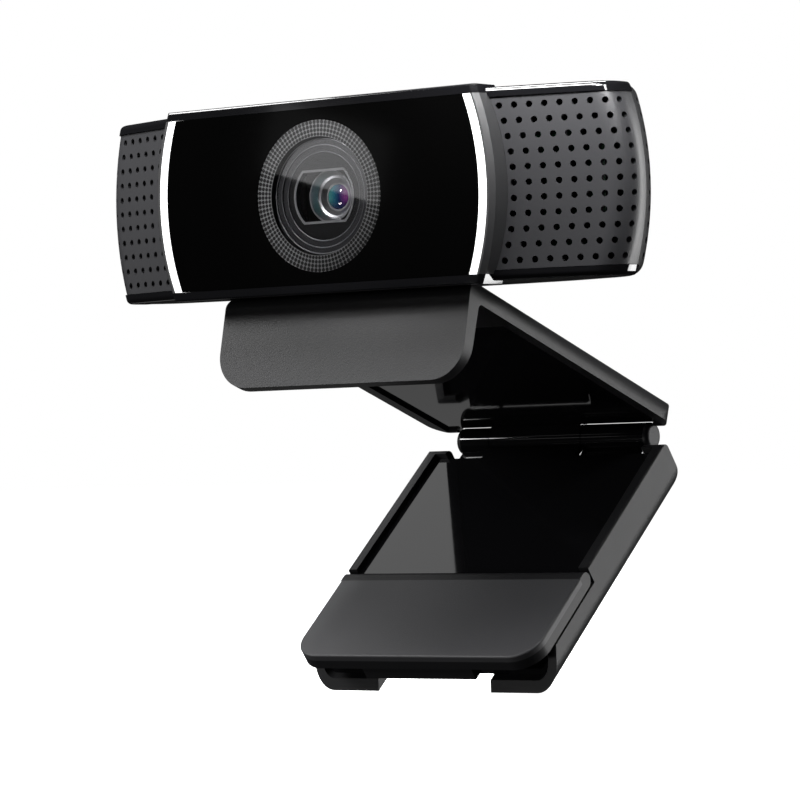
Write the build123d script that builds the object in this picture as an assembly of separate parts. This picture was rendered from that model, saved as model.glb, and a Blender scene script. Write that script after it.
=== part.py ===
"""A clip-on webcam: a bar-shaped camera that tilts on a folding monitor clip.

Millimetres, +Z up. The camera looks along -Y, +X is to the right of someone who faces its lens, and
the origin is the centre of the front window's face, on the lens axis.

Bodies: the clip's arm (which rests on the monitor), the camera (tilts on the arm), the lens (focuses
in the camera), the leg (folds at the arm's back end) and the foot (flips out of the leg).
"""
from build123d import *
import math
import os

# ---------------------------------------------------------------- camera housing
BODY_WIDTH = 94.8          # over the bulged ends
BODY_DEPTH = 23.5          # window face to back
BODY_HEIGHT = 27.5         # over the glossy caps
SIDE_RADIUS = 38.0         # every upright edge is a copy of this arc, seen from the front
BODY_CORNER_FRONT = 4.4    # plan radius between a wing's face and its end
BODY_CORNER_BACK = 7.6     # plan radius between an end and the back
BACK_END_Y = 18.8          # the back slopes in from its middle part to this depth at the ends
BACK_FLAT_X = 30.0         # half width of the back's level middle part
BACK_BEND_RADIUS = 12.0
BACK_EDGE_RADIUS = 2.4     # top and bottom edges of the rear shell
WALL = 1.5                 # rear shell
GRILLE_WALL = 1.3
CAP_THICKNESS = 1.45
CAP_OVERHANG = 0.25        # how far the caps stand out past the grilles
CAP_EDGE_RADIUS = 0.85
WING_START_X = 27.0        # the wings' faces slope back from here
WING_START_Y = 2.35
WING_SLOPE = 20.0          # degrees
PARTING_Y = 14.1           # joint between the front pieces and the rear shell
SEAM = 0.1                 # visible gap between two pieces of the housing

# ---------------------------------------------------------------- centre module
MODULE_HALF_WIDTH = 30.6   # at mid height
MODULE_HEIGHT = 28.4
MODULE_DEPTH = 5.5
MODULE_BEVEL = 0.7
BAR_HEIGHT = 1.35          # glossy bars above and below the window
STRIP_OUTER = 29.5         # light strip's outer edge at mid height
STRIP_WIDTH = 1.3
STRIP_DEPTH = 1.9
PANEL_THICKNESS = 1.0
WINDOW_RADIUS = 11.1       # clear round window in the black front panel
FIT = 0.05                 # gap round a piece that is pressed or glued in

# ---------------------------------------------------------------- grille holes
HOLE_DIAMETER = 0.95
HOLE_PITCH = 2.2
HOLE_ROWS = 11
HOLE_COLUMNS = 9
HOLE_FIRST_X = 31.5        # first column, at mid height
REAR_HOLE_COLUMNS = 2

# ---------------------------------------------------------------- lens
BAFFLE_STEPS = (8.4, 7.5, 6.5)   # radii of the stepped rings behind the window
BAFFLE_STEP_DEPTH = 0.2
BAFFLE_WALL_RADIUS = 12.0
HOOD_RADIUS = 5.1
HOOD_HALF_HEIGHT = 3.6
HOOD_RIM = 0.35
LENS_RIM_RADIUS = 3.85
LENS_RIM_Y = 3.0
LENS_GLASS_RADIUS = 1.85
LENS_GLASS_Y = 4.9
LENS_BACK_Y = 10.6
FOCUS_TRAVEL = 0.3
COIL_THICKNESS = 0.55
FOCUS_CLEARANCE = 0.3
FOCUS_BOX = 12.6           # square housing of the focus motor
FOCUS_FRONT_Y = 5.6
FOCUS_BACK_Y = 11.0

# ---------------------------------------------------------------- boards and chassis
BOARD = 1.0
SENSOR_WIDTH = 6.4
SENSOR_HEIGHT = 5.2
CHASSIS_HALF_WIDTH = 27.0
CHASSIS_HALF_HEIGHT = 9.2
CHASSIS_THICKNESS = 1.2
MAIN_BOARD_HALF_WIDTH = 36.0
MIC_X = 37.0
MIC_RADIUS = 2.0
SCREW_X = 21.0
SCREW_Z = 6.6
SCREW_RADIUS = 0.8
SCREW_HEAD_RADIUS = 1.6
CABLE_RADIUS = 1.9
CABLE_X = -14.0
CABLE_Z = -6.5

# ---------------------------------------------------------------- tilt hinge
TILT_Y = 15.7
TILT_Z = -12.95
TILT_LUG_RADIUS = 1.9
TILT_LUG_HALF_WIDTH = 3.7
TILT_EAR_THICKNESS = 3.0
TILT_PIN_RADIUS = 0.9
RUNNING = 0.05             # radial clearance of a turning pin
GAP = 0.3                  # clear space between pieces that move past each other

# ---------------------------------------------------------------- clip arm and lip (arm's own frame)
ARM_SLOPE = 19.7           # degrees that the arm falls towards the back
CLIP_WIDTH = 44.4
ARM_TOP = -2.0             # heights and lengths from the tilt axis
ARM_THICKNESS = 4.2
ARM_BACK = 51.1
ARM_KNEE = -2.3            # the top is level with the camera's underside forward of here
ARM_SIDE_RADIUS = 3.85     # upper edges along both sides
ARM_END_RADIUS = 2.6       # upper edge at the back end
ARM_CORNER_RADIUS = 5.0
ARM_WALL = 1.6
RAIL_WIDTH = 1.9
RECESS = 0.5               # glossy panels sit this far below the rails
LIP_FRONT_TOP = -8.85
LIP_FRONT_BOTTOM = -7.57
LIP_SHOULDER = -4.31       # height of the lip's upper front corner
LIP_BOTTOM = -18.1
LIP_THICKNESS = 2.75
LIP_CORNER_RADIUS = 5.4
LIP_PAD_THICKNESS = 0.3

# ---------------------------------------------------------------- fold hinge
FOLD_U = 51.0              # along the arm from the tilt axis
FOLD_W = -7.45             # below the tilt axis
BARREL_RADIUS = 2.15
BARREL_HALF_LENGTH = 17.2
ARM_KNUCKLE_FROM = -11.6
ARM_KNUCKLE_TO = 5.6
KNUCKLE_GAP = 0.2
FOLD_PIN_RADIUS = 1.0
SLEEVE_RADIUS = 1.5
END_CAP_THICKNESS = 0.9

# ---------------------------------------------------------------- leg (leg's own frame, from the fold axis)
LEG_SLOPE = 37.5           # degrees below level, towards the front
LEG_START = 3.2
LEG_END = 51.6             # at the outer face; the free end is upright when the leg is at rest
LEG_FACE = 1.42            # rails' height above the fold axis
LEG_THICKNESS = 8.6
LEG_HINGE_RADIUS = 4.0
LEG_EDGE_RADIUS = 3.6
LEG_WALL = 1.5
LEG_RAIL = 1.7             # width of the rails beside the glossy plate
LEG_RECESS = 0.9
PANEL_PLATE = 1.0
NOTCH_HALF_WIDTH = 10.3
NOTCH_DEPTH = 4.2
LINER = 0.7                # glossy lining of the leg's open end
LINER_SETBACK = 1.2
LINER_WALL_AT = 45.0       # wall that closes the open end, along the leg

# ---------------------------------------------------------------- tripod thread
THREAD_RADIUS = 3.2        # plain bore in place of the quarter-inch camera thread
INSERT_RADIUS = 4.6
INSERT_LENGTH = 6.0
INSERT_AT = 20.0           # along the leg from the fold axis

# ---------------------------------------------------------------- foot
FOOT_START = 33.4
FOOT_LENGTH = 19.8
FOOT_THICKNESS = 2.6
FOOT_PAD = 1.05
FOOT_CORNER_RADIUS = 4.5
FOOT_GRIP_DEPTH = 2.2
FOOT_PIN_RADIUS = 0.5
EAR_X = 15.5
EAR_THICKNESS = 2.0
EAR_RADIUS = 0.8
EAR_ROOM_RADIUS = 0.95     # space for a post's round top inside the foot
EAR_SLOT = 1.75            # half length of the space for the post below it

# ---------------------------------------------------------------- derived
HALF_WIDTH = BODY_WIDTH / 2
HALF_HEIGHT = BODY_HEIGHT / 2
GRILLE_HALF_HEIGHT = HALF_HEIGHT - CAP_THICKNESS
MODULE_HALF_HEIGHT = MODULE_HEIGHT / 2
FACE_HALF_HEIGHT = MODULE_HALF_HEIGHT - BAR_HEIGHT
STRIP_INNER = STRIP_OUTER - STRIP_WIDTH
CLIP_HALF = CLIP_WIDTH / 2
ARM_BOTTOM = ARM_TOP - ARM_THICKNESS
LEG_BACK = LEG_FACE - LEG_THICKNESS
FOOT_PIVOT = FOOT_START + FOOT_THICKNESS / 2
FOOT_AXIS_HEIGHT = LEG_FACE - FOOT_THICKNESS / 2
FOOT_END = FOOT_START + FOOT_LENGTH
SIDE_WALL_TOP = LEG_FACE - FOOT_THICKNESS - GAP

arm_angle = math.radians(ARM_SLOPE)
FOLD_Y = TILT_Y + FOLD_U * math.cos(arm_angle) + FOLD_W * math.sin(arm_angle)
FOLD_Z = TILT_Z - FOLD_U * math.sin(arm_angle) + FOLD_W * math.cos(arm_angle)
ARM_PLACE = Pos(0, TILT_Y, TILT_Z) * Rot(-ARM_SLOPE, 0, 0)
LEG_PLACE = Pos(0, FOLD_Y, FOLD_Z) * Rot(LEG_SLOPE, 0, 0)


# ================================================================ helpers
def block(x, y, z):
    """A box from three (low, high) pairs."""
    size = [high - low for low, high in (x, y, z)]
    middle = [(low + high) / 2 for low, high in (x, y, z)]
    return Pos(*middle) * Box(*size)


def rod_x(radius, x0, x1, y, z):
    """A cylinder along X."""
    return Pos((x0 + x1) / 2, y, z) * Rot(0, 90, 0) * Cylinder(radius, x1 - x0)


def rod_y(radius, y0, y1, x=0.0, z=0.0):
    """A cylinder along Y."""
    return Pos(x, (y0 + y1) / 2, z) * Rot(90, 0, 0) * Cylinder(radius, y1 - y0)


def sag(z):
    """How far the bulged sides have drawn in at height z."""
    return SIDE_RADIUS - math.sqrt(SIDE_RADIUS**2 - z**2)


def bulged(half_width, half_height):
    """The front outline, flat above and below, with both sides bulging out to half_width."""
    edge = half_width - sag(half_height)
    top = Line((-edge, half_height), (edge, half_height))
    right = ThreePointArc((edge, half_height), (half_width, 0), (edge, -half_height))
    bottom = Line((edge, -half_height), (-edge, -half_height))
    left = ThreePointArc((-edge, -half_height), (-half_width, 0), (-edge, half_height))
    return make_face([top, right, bottom, left])


def front_slab(face, y0, y1):
    """A front outline made solid from y0 back to y1."""
    plane = Plane(origin=(0, y0, 0), x_dir=(1, 0, 0), z_dir=(0, -1, 0))
    return extrude(plane * face, amount=y1 - y0, dir=(0, 1, 0))


def side_slab(face, half_width):
    """A side outline in (y, z) made solid over both half widths."""
    plane = Plane(origin=(-half_width, 0, 0), x_dir=(0, 1, 0), z_dir=(1, 0, 0))
    return extrude(plane * face, amount=2 * half_width)


def section_slab(face, y0, y1):
    """A cross-section in (x, z) made solid from y0 to y1."""
    return front_slab(face, y0, y1)


def rounded_rectangle(x, y, radii):
    """A rectangle from two (low, high) pairs; radii are for low-low, high-low, high-high, low-high."""
    face = make_face(Polyline((x[0], y[0]), (x[1], y[0]), (x[1], y[1]), (x[0], y[1]), close=True))
    corners = ((x[0], y[0]), (x[1], y[0]), (x[1], y[1]), (x[0], y[1]))
    for (cx, cy), radius in zip(corners, radii):
        if radius > 0:
            nearest = min(face.vertices(), key=lambda v: math.hypot(v.X - cx, v.Y - cy))
            face = fillet(nearest, radius)
    return face


def revolve_y(points):
    """A turned piece about the Y axis, from (radius, y) points."""
    face = make_face(Polyline(*[(r, y) for r, y in points], close=True))
    return revolve(face, axis=Axis.Y)


# ================================================================ camera housing
def wing_y(x):
    """Depth of the wing's sloping face at x, at mid height."""
    return WING_START_Y + (abs(x) - WING_START_X) * math.tan(math.radians(WING_SLOPE))


def body_form(inset, half_height, edge=0.0):
    """The housing's outer form, drawn in by inset, cut off at half_height, its rims rounded by edge."""
    wide = HALF_WIDTH + 1
    back_slope = (BODY_DEPTH - BACK_END_Y) / (HALF_WIDTH - BACK_FLAT_X)
    plan = make_face(
        Polyline(
            (-wide, wing_y(wide)),
            (-WING_START_X, WING_START_Y),
            (WING_START_X, WING_START_Y),
            (wide, wing_y(wide)),
            (wide, BACK_END_Y - back_slope),
            (BACK_FLAT_X, BODY_DEPTH),
            (-BACK_FLAT_X, BODY_DEPTH),
            (-wide, BACK_END_Y - back_slope),
            close=True,
        )
    )
    if inset:
        plan = offset(plan, -inset, kind=Kind.INTERSECTION)
    tall = HALF_HEIGHT + 1
    form = extrude(plan, amount=tall, both=True)
    form &= front_slab(bulged(HALF_WIDTH - inset, tall), -1, BODY_DEPTH + 1)
    upright = [e for e in form.edges() if e.bounding_box().size.Z > tall]
    front = [e for e in upright if abs(e.center().X) > 40 and e.center().Y < PARTING_Y]
    form = fillet(front, BODY_CORNER_FRONT - inset)
    upright = [e for e in form.edges() if e.bounding_box().size.Z > tall]
    back = [e for e in upright if abs(e.center().X) > 40 and e.center().Y > PARTING_Y + 1.5]
    form = fillet(back, BODY_CORNER_BACK - inset)
    upright = [e for e in form.edges() if e.bounding_box().size.Z > tall]
    bends = [e for e in upright if abs(abs(e.center().X) - BACK_FLAT_X) < 1 and e.center().Y > PARTING_Y]
    form = fillet(bends, BACK_BEND_RADIUS - inset)
    form &= block((-HALF_WIDTH - 1, HALF_WIDTH + 1), (-1, BODY_DEPTH + 1), (-half_height, half_height))
    if edge:
        rims = [e for e in form.edges() if abs(abs(e.center().Z) - half_height) < 0.01]
        form = fillet(rims, edge)
    return form


def wing_surface(distance):
    """(x, y, angle) on the housing's face at mid height, distance along it from the first column.
    The angle is the outward normal's, in degrees from straight ahead towards the end."""
    slope = math.radians(WING_SLOPE)
    radius = BODY_CORNER_FRONT
    centre_x = HALF_WIDTH - radius
    centre_y = wing_y(centre_x) + radius / math.cos(slope)
    start_x = centre_x + radius * math.sin(slope)
    flat = (start_x - HOLE_FIRST_X) / math.cos(slope)
    bend = radius * (math.pi / 2 - slope)
    if distance < flat:
        x = HOLE_FIRST_X + distance * math.cos(slope)
        return x, wing_y(x), WING_SLOPE
    if distance < flat + bend:
        angle = slope + (distance - flat) / radius
        return centre_x + radius * math.sin(angle), centre_y - radius * math.cos(angle), math.degrees(angle)
    slant = math.atan((BODY_DEPTH - BACK_END_Y) / (HALF_WIDTH - BACK_FLAT_X))
    corner_start = BACK_END_Y - BODY_CORNER_BACK / math.tan(math.pi / 4 + slant / 2)
    y = centre_y + distance - flat - bend
    if y < corner_start:
        return HALF_WIDTH, y, 90.0
    angle = (y - corner_start) / BODY_CORNER_BACK
    x = HALF_WIDTH - BODY_CORNER_BACK * (1 - math.cos(angle))
    return x, corner_start + BODY_CORNER_BACK * math.sin(angle), 90 + math.degrees(angle)


def hole_cutters(columns):
    """Drills for a grille's rows, through the face at each of the given columns of the right wing."""
    drills = []
    for column in columns:
        x, y, angle = wing_surface(column * HOLE_PITCH)
        for row in range(HOLE_ROWS):
            z = (row - (HOLE_ROWS - 1) / 2) * HOLE_PITCH
            shift = sag(z)
            lean = math.tan(math.radians(WING_SLOPE)) if angle < 89 else 0.0
            drill = Rot(0, 0, angle) * Rot(90, 0, 0) * Cylinder(HOLE_DIAMETER / 2, 4 * GRILLE_WALL)
            drills.append(Pos(x - shift, y - shift * lean, z) * drill)
    return drills


def grille_right():
    """Perforated panel of the right wing, from the module round the end to the parting line."""
    shell = body_form(0, GRILLE_HALF_HEIGHT) - body_form(GRILLE_WALL, GRILLE_HALF_HEIGHT + 1)
    reach = (-GRILLE_HALF_HEIGHT + SEAM / 2, GRILLE_HALF_HEIGHT - SEAM / 2)
    shell &= block((WING_START_X + 0.6, HALF_WIDTH + 1), (0, PARTING_Y - SEAM / 2), reach)
    shell -= front_slab(bulged(MODULE_HALF_WIDTH + FIT, MODULE_HALF_HEIGHT), -1, MODULE_DEPTH)
    return shell - hole_cutters(range(HOLE_COLUMNS))


def cap(top):
    """Glossy cap over the front half, above or below the grilles."""
    form = body_form(-CAP_OVERHANG, HALF_HEIGHT)
    low, high = GRILLE_HALF_HEIGHT, HALF_HEIGHT
    piece = form & block((-HALF_WIDTH - 1, HALF_WIDTH + 1), (0, PARTING_Y - SEAM / 2), (low, high))
    rim = [e for e in piece.edges() if e.center().Z > high - 0.01 and e.center().Y < PARTING_Y - SEAM]
    piece = fillet(rim, CAP_EDGE_RADIUS)
    piece -= front_slab(bulged(MODULE_HALF_WIDTH + FIT, MODULE_HALF_HEIGHT + 1), -1, MODULE_DEPTH)
    if not top:
        piece = mirror(piece, Plane.XY) - tilt_slot()
    return piece


def rear_shell():
    """Back half of the housing, with the grilles' last columns, screw bosses and the cable hole."""
    cavity = body_form(WALL, HALF_HEIGHT - WALL, BACK_EDGE_RADIUS - WALL)
    shell = body_form(0, HALF_HEIGHT, BACK_EDGE_RADIUS) - cavity
    shell &= block(
        (-HALF_WIDTH - 1, HALF_WIDTH + 1),
        (PARTING_Y + SEAM / 2, BODY_DEPTH + 1),
        (-HALF_HEIGHT - 1, HALF_HEIGHT + 1),
    )
    first = math.ceil((PARTING_Y + 1.2 - wing_surface(HOLE_COLUMNS * HOLE_PITCH)[1]) / HOLE_PITCH)
    columns = range(HOLE_COLUMNS + max(first, 0), HOLE_COLUMNS + max(first, 0) + REAR_HOLE_COLUMNS)
    drills = hole_cutters(columns)
    shell -= drills
    shell -= [mirror(d, Plane.YZ) for d in drills]
    boss_start = board_back()
    for x in (-SCREW_X, SCREW_X):
        for z in (-SCREW_Z, SCREW_Z):
            shell += rod_y(SCREW_HEAD_RADIUS + 0.9, boss_start + FIT, BODY_DEPTH - WALL / 2, x, z)
            shell -= rod_y(SCREW_RADIUS + FIT, boss_start - 1, BODY_DEPTH, x, z)
            shell -= rod_y(SCREW_HEAD_RADIUS + FIT, BODY_DEPTH - WALL, BODY_DEPTH + 1, x, z)
    shell -= rod_y(CABLE_RADIUS + 1.0 + FIT, BODY_DEPTH - 2 * WALL, BODY_DEPTH + 1, CABLE_X, CABLE_Z)
    return shell - tilt_slot()


def tilt_slot():
    """Opening in the housing's underside for the tilt hinge."""
    half = TILT_LUG_HALF_WIDTH + TILT_EAR_THICKNESS + 2 * GAP
    reach = TILT_LUG_RADIUS + 2 * GAP
    return block((-half, half), (TILT_Y - reach, TILT_Y + reach), (-HALF_HEIGHT - 1, -HALF_HEIGHT + WALL + 0.6))


# ================================================================ centre module
def module_ring():
    """Front bezel with bevelled sides, and the seat for the window and light strips."""
    frame = front_slab(bulged(MODULE_HALF_WIDTH, MODULE_HALF_HEIGHT), 0, MODULE_DEPTH)
    rim = [e for e in frame.edges() if e.center().Y < 0.01]
    sides = [e for e in rim if e.bounding_box().size.Z > 5]
    frame = chamfer(sides, MODULE_BEVEL)
    bars = [e for e in frame.edges() if abs(e.center().X) < 1 and e.center().Y < 0.01]
    frame = fillet(bars, BAR_HEIGHT / 4)
    frame -= front_slab(bulged(STRIP_OUTER + FIT, FACE_HALF_HEIGHT), -1, STRIP_DEPTH + FIT)
    return frame - front_slab(bulged(STRIP_INNER - 0.4, FACE_HALF_HEIGHT - 0.8), 0, MODULE_DEPTH + 1)


def module_frame():
    """The bezel's matte sides."""
    reach = (-FACE_HALF_HEIGHT, FACE_HALF_HEIGHT)
    return module_ring() & block((-HALF_WIDTH, HALF_WIDTH), (-1, MODULE_DEPTH), reach)


def module_bars():
    """The bezel's glossy bars above and below the window."""
    middle = block((-HALF_WIDTH, HALF_WIDTH), (-1, MODULE_DEPTH + 1), (-FACE_HALF_HEIGHT, FACE_HALF_HEIGHT))
    return module_ring() - middle


def front_panel():
    """Black glossy panel with the round opening for the clear window."""
    panel = front_slab(bulged(STRIP_INNER - FIT, FACE_HALF_HEIGHT - FIT), 0, PANEL_THICKNESS)
    return panel - rod_y(WINDOW_RADIUS, -1, PANEL_THICKNESS + 1)


def light_strips():
    """Left and right light strips, as one piece each."""
    both = front_slab(bulged(STRIP_OUTER, FACE_HALF_HEIGHT - FIT), 0, STRIP_DEPTH)
    both -= front_slab(bulged(STRIP_INNER, FACE_HALF_HEIGHT), -1, STRIP_DEPTH + 1)
    left = both & block((-HALF_WIDTH, 0), (-1, BODY_DEPTH), (-HALF_HEIGHT, HALF_HEIGHT))
    right = both & block((0, HALF_WIDTH), (-1, BODY_DEPTH), (-HALF_HEIGHT, HALF_HEIGHT))
    return left, right


def light_guide_boards():
    """The small boards that carry the strips' lights, one behind each strip."""
    y = (STRIP_DEPTH + 1.5, STRIP_DEPTH + 1.5 + BOARD)
    half = FACE_HALF_HEIGHT - 2.4
    x = (STRIP_INNER - 5.2, STRIP_INNER - 2.6)
    right = block(x, y, (-half, half))
    return right + mirror(right, Plane.YZ)


def status_leds():
    """Two lights on each of the small boards."""
    side = 1.4
    x = STRIP_INNER - 3.6
    y = (STRIP_DEPTH + 0.5, STRIP_DEPTH + 1.5)
    leds = []
    for sign in (-1, 1):
        for z in (-5.0, 5.0):
            middle = sign * x
            leds.append(block((middle - side / 2, middle + side / 2), y, (z - side / 2, z + side / 2)))
    return Compound(children=leds)


# ================================================================ lens
def baffle_back():
    """Depth of the dark disc that the lens looks out through."""
    return PANEL_THICKNESS + (len(BAFFLE_STEPS) - 1) * BAFFLE_STEP_DEPTH + 0.1


def lens_baffle():
    """Ring behind the window that steps in towards the lens."""
    y = PANEL_THICKNESS
    points = [(BAFFLE_WALL_RADIUS, y), (BAFFLE_STEPS[0], y)]
    for radius, inner in zip(BAFFLE_STEPS, BAFFLE_STEPS[1:]):
        y += BAFFLE_STEP_DEPTH
        points += [(radius, y), (inner, y)]
    points += [(BAFFLE_STEPS[-1], baffle_back() + 0.8), (BAFFLE_WALL_RADIUS, baffle_back() + 0.8)]
    return revolve_y(points)


def hood_outline(grow):
    """A circle with a flat top and bottom."""
    height = 2 * (HOOD_HALF_HEIGHT + grow)
    return Circle(HOOD_RADIUS + grow) & Rectangle(4 * HOOD_RADIUS, height)


def lens_hood():
    """Dark disc with a rimmed opening that is round with a flat top and bottom."""
    front = baffle_back()
    disc = rod_y(BAFFLE_STEPS[-1] - FIT, front, front + 0.7)
    disc += front_slab(hood_outline(HOOD_RIM), front - 0.15, LENS_RIM_Y - FOCUS_TRAVEL - 0.3)
    return disc - front_slab(hood_outline(0), -1, BODY_DEPTH)


def lens_barrel():
    """Barrel that carries the lens elements and slides to focus."""
    rim = LENS_RIM_RADIUS
    return revolve_y(
        [
            (rim, LENS_RIM_Y),
            (rim - 0.2, LENS_RIM_Y),
            (rim - 0.65, LENS_GLASS_Y - 0.5),
            (rim - 0.75, LENS_GLASS_Y - 0.6),
            (rim - 1.1, LENS_GLASS_Y - 0.5),
            (LENS_GLASS_RADIUS + 0.25, LENS_GLASS_Y),
            (LENS_GLASS_RADIUS, LENS_GLASS_Y),
            (LENS_GLASS_RADIUS, LENS_GLASS_Y + 1.7),
            (LENS_GLASS_RADIUS - 0.5, LENS_GLASS_Y + 1.7),
            (LENS_GLASS_RADIUS - 0.5, LENS_BACK_Y - 1.6),
            (rim - 1.2, LENS_BACK_Y - 1.6),
            (rim - 1.2, LENS_BACK_Y),
            (rim, LENS_BACK_Y),
        ]
    )


def lens_glass():
    """Front lens element, domed."""
    body = rod_y(LENS_GLASS_RADIUS - 0.01, LENS_GLASS_Y - 0.5, LENS_GLASS_Y + 1.7)
    dome_radius = 4.0
    return body & (Pos(0, LENS_GLASS_Y - 0.35 + dome_radius, 0) * Sphere(dome_radius))


def rear_element():
    """Last lens element, at the back of the barrel."""
    return rod_y(LENS_RIM_RADIUS - 1.21, LENS_BACK_Y - 1.6, LENS_BACK_Y - 0.4)


def focus_coil():
    """Coil on the barrel that pulls it along the axis."""
    ring = rod_y(LENS_RIM_RADIUS + COIL_THICKNESS, FOCUS_FRONT_Y + 1.4, FOCUS_BACK_Y - 1.4)
    return ring - rod_y(LENS_RIM_RADIUS, FOCUS_FRONT_Y, FOCUS_BACK_Y)


def focus_housing():
    """Square shell of the focus motor, fixed in the camera."""
    half = FOCUS_BOX / 2
    shell = block((-half, half), (FOCUS_FRONT_Y, FOCUS_BACK_Y), (-half, half))
    return shell - rod_y(
        LENS_RIM_RADIUS + COIL_THICKNESS + FOCUS_CLEARANCE, FOCUS_FRONT_Y - 1, FOCUS_BACK_Y + 1
    )


def focus_magnets():
    """Magnets in front of the motor shell, one at each corner."""
    half = FOCUS_BOX / 2
    size = 2.2
    magnets = []
    for sx in (-1, 1):
        for sz in (-1, 1):
            x = sorted((sx * (half - size), sx * half))
            z = sorted((sz * (half - size), sz * half))
            magnets.append(block(x, (FOCUS_FRONT_Y - 1.2, FOCUS_FRONT_Y), z))
    return Compound(children=magnets)


def ir_filter():
    """Infrared filter in front of the sensor."""
    return block((-3.4, 3.4), (FOCUS_BACK_Y + 0.1, FOCUS_BACK_Y + 0.4), (-2.8, 2.8))


def sensor_front():
    """Depth of the image sensor's face."""
    return FOCUS_BACK_Y + 0.7


def image_sensor():
    half_x, half_z = SENSOR_WIDTH / 2, SENSOR_HEIGHT / 2
    return block((-half_x, half_x), (sensor_front(), sensor_front() + 0.8), (-half_z, half_z))


def sensor_holder():
    """Frame that carries the filter and joins the motor to the sensor board."""
    half = FOCUS_BOX / 2
    frame = block((-half, half), (FOCUS_BACK_Y, sensor_front() + 0.8), (-half, half))
    frame -= block((-3.4, 3.4), (FOCUS_BACK_Y - 1, FOCUS_BACK_Y + 0.4), (-2.8, 2.8))
    cavity = (SENSOR_WIDTH / 2 + 0.2, SENSOR_HEIGHT / 2 + 0.2)
    frame -= block((-3.0, 3.0), (FOCUS_BACK_Y, sensor_front()), (-2.4, 2.4))
    return frame - block((-cavity[0], cavity[0]), (sensor_front() - 0.1, BODY_DEPTH), (-cavity[1], cavity[1]))


def sensor_board():
    start = sensor_front() + 0.8
    return block((-9.0, 9.0), (start, start + BOARD), (-8.0, 8.0))


# ================================================================ boards, chassis, microphones
def chassis_front():
    return sensor_front() + 0.8 + BOARD


def board_back():
    """Depth of the main board's back face."""
    return chassis_front() + CHASSIS_THICKNESS + BOARD


def chassis():
    """Metal plate that carries the boards and the tilt bracket."""
    y = (chassis_front(), chassis_front() + CHASSIS_THICKNESS)
    half_x, half_z = CHASSIS_HALF_WIDTH, CHASSIS_HALF_HEIGHT
    plate = block((-half_x, half_x), y, (-half_z, half_z))
    for x in (-SCREW_X, SCREW_X):
        for z in (-SCREW_Z, SCREW_Z):
            plate -= rod_y(SCREW_RADIUS + FIT, y[0] - 1, y[1] + 1, x, z)
    return plate


def main_board():
    """Main circuit board, behind the chassis."""
    start = chassis_front() + CHASSIS_THICKNESS
    half = MAIN_BOARD_HALF_WIDTH
    board = block((-half, half), (start, start + BOARD), (-CHASSIS_HALF_HEIGHT, CHASSIS_HALF_HEIGHT))
    for x in (-SCREW_X, SCREW_X):
        for z in (-SCREW_Z, SCREW_Z):
            board -= rod_y(SCREW_RADIUS + FIT, start - 1, start + BOARD + 1, x, z)
    return board


def board_chips():
    """The video processor, memory and interface chips on the main board."""
    start = board_back()
    processor = block((-5.0, 5.0), (start, start + 1.2), (-4.5, 5.5))
    memory = block((8.0, 14.0), (start, start + 1.0), (-3.0, 5.0))
    interface = block((26.0, 31.0), (start, start + 0.9), (-2.5, 2.5))
    return Compound(children=[processor, memory, interface])


def cable_header():
    """Connector on the main board for the cable's wires."""
    start = board_back()
    return block((CABLE_X - 17.0, CABLE_X - 9.5), (start, start + 2.2), (-1.5, 1.5))


def mic_front():
    """Depth of the microphones' face, behind the grille's inside."""
    inner = wing_y(MIC_X + MIC_RADIUS) + GRILLE_WALL / math.cos(math.radians(WING_SLOPE))
    return inner + 1.0


def microphones():
    start = mic_front()
    return Compound(children=[rod_y(MIC_RADIUS, start, start + 1.6, x, 0) for x in (-MIC_X, MIC_X)])


def mic_gaskets():
    """Soft rings that seal each microphone to the air behind its grille."""
    start = mic_front()
    rings = []
    for x in (-MIC_X, MIC_X):
        ring = rod_y(MIC_RADIUS + 0.8, start - 0.4, start + 1.6, x, 0)
        ring -= rod_y(MIC_RADIUS, start, start + 2, x, 0)
        rings.append(ring - rod_y(MIC_RADIUS - 0.8, start - 1, start + 1, x, 0))
    return Compound(children=rings)


def mic_boards():
    start = mic_front() + 1.6
    right = block((MIC_X - 5.0, MIC_X + 5.0), (start, start + BOARD), (-5.0, 5.0))
    return Compound(children=[right, mirror(right, Plane.YZ)])


def housing_screws():
    """Four screws through the back into the chassis."""
    screws = []
    for x in (-SCREW_X, SCREW_X):
        for z in (-SCREW_Z, SCREW_Z):
            screw = rod_y(SCREW_RADIUS, chassis_front(), BODY_DEPTH - WALL, x, z)
            head = rod_y(SCREW_HEAD_RADIUS, BODY_DEPTH - WALL, BODY_DEPTH - 0.4, x, z)
            slot = block((x - 1.0, x + 1.0), (BODY_DEPTH - 0.9, BODY_DEPTH), (z - 0.2, z + 0.2))
            cross = block((x - 0.2, x + 0.2), (BODY_DEPTH - 0.9, BODY_DEPTH), (z - 1.0, z + 1.0))
            screws.append(screw + head - slot - cross)
    return Compound(children=screws)


def cable_inlet():
    """Rubber ring in the back that the cable would come out of."""
    ring = rod_y(CABLE_RADIUS + 1.0, BODY_DEPTH - 2 * WALL, BODY_DEPTH, CABLE_X, CABLE_Z)
    ring += rod_y(CABLE_RADIUS + 1.6, BODY_DEPTH, BODY_DEPTH + 0.8, CABLE_X, CABLE_Z)
    return ring - rod_y(CABLE_RADIUS, 0, BODY_DEPTH + 2, CABLE_X, CABLE_Z)


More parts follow.
